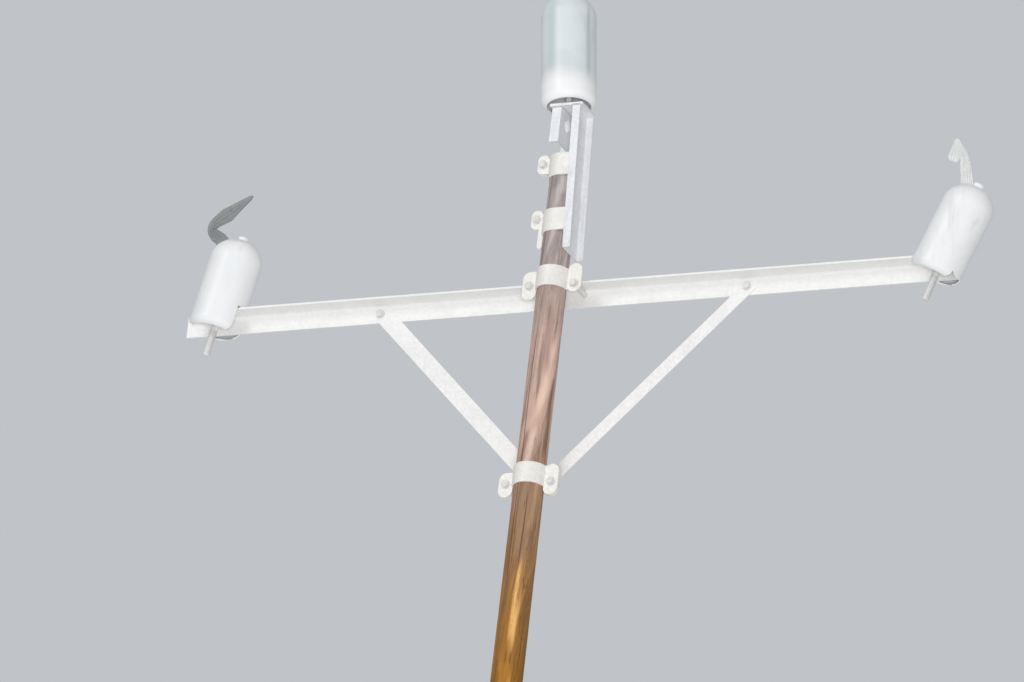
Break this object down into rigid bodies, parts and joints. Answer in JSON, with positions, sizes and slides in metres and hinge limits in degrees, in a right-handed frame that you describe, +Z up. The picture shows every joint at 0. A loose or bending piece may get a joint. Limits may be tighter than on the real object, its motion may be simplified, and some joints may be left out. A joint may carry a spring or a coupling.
{
  "type": "wooden utility pole",
  "caption": "Tapered timber pole with a steel angle crossarm, bent braces, a clamped pole-top bracket and leaning pin insulators under smooth hoods.",
  "frame": {"origin": "centre of the pole at the ground line", "axes": "+Z up along the pole, +X along the crossarm, +Y towards the crossarm's side of the pole"},
  "size_m": [3.1727, 0.2661, 8.1906],
  "materials": {
    "timber": "weathered",
    "galvanised_angle": "matt galvanised",
    "galvanised_strap": "matt galvanised",
    "bracket_steel": "dull galvanised",
    "bolt_steel": "weathered galvanised",
    "hood_shell": "glossy",
    "porcelain": "glazed"
  },
  "bodies": {
    "root": {"pole": "timber", "crossarm": "galvanised_angle", "crossarm_strap": "galvanised_strap", "crossarm_bolt_left": "bolt_steel", "crossarm_bolt_right": "bolt_steel", "brace_clamp_front": "galvanised_strap", "brace_clamp_back": "galvanised_strap", "brace_clamp_bolt_left": "bolt_steel", "brace_clamp_bolt_right": "bolt_steel", "brace_stud": "bolt_steel", "brace_stud_nut": "bolt_steel", "brace_left": "galvanised_angle", "brace_right": "galvanised_angle", "brace_bolt_left": "bolt_steel", "brace_bolt_right": "bolt_steel", "bracket_channel": "bracket_steel", "bracket_short_leg": "bracket_steel", "bracket_seat_plate": "bracket_steel", "upper_strap_front": "galvanised_strap", "upper_strap_back": "galvanised_strap", "upper_strap_bolt": "bolt_steel", "lower_strap_front": "galvanised_strap", "lower_strap_back": "galvanised_strap", "lower_strap_bolt": "bolt_steel", "top_hood": "hood_shell", "top_insulator": "porcelain", "top_pin": "bolt_steel", "left_hood": "hood_shell", "left_insulator": "porcelain", "left_pin": "bolt_steel", "left_washer_upper": "bolt_steel", "left_washer_lower": "bolt_steel", "left_pin_nut": "bolt_steel", "right_hood": "hood_shell", "right_insulator": "porcelain", "right_pin": "bolt_steel", "right_washer_upper": "bolt_steel", "right_washer_lower": "bolt_steel", "right_pin_nut": "bolt_steel"}
  },
  "joints": []
}
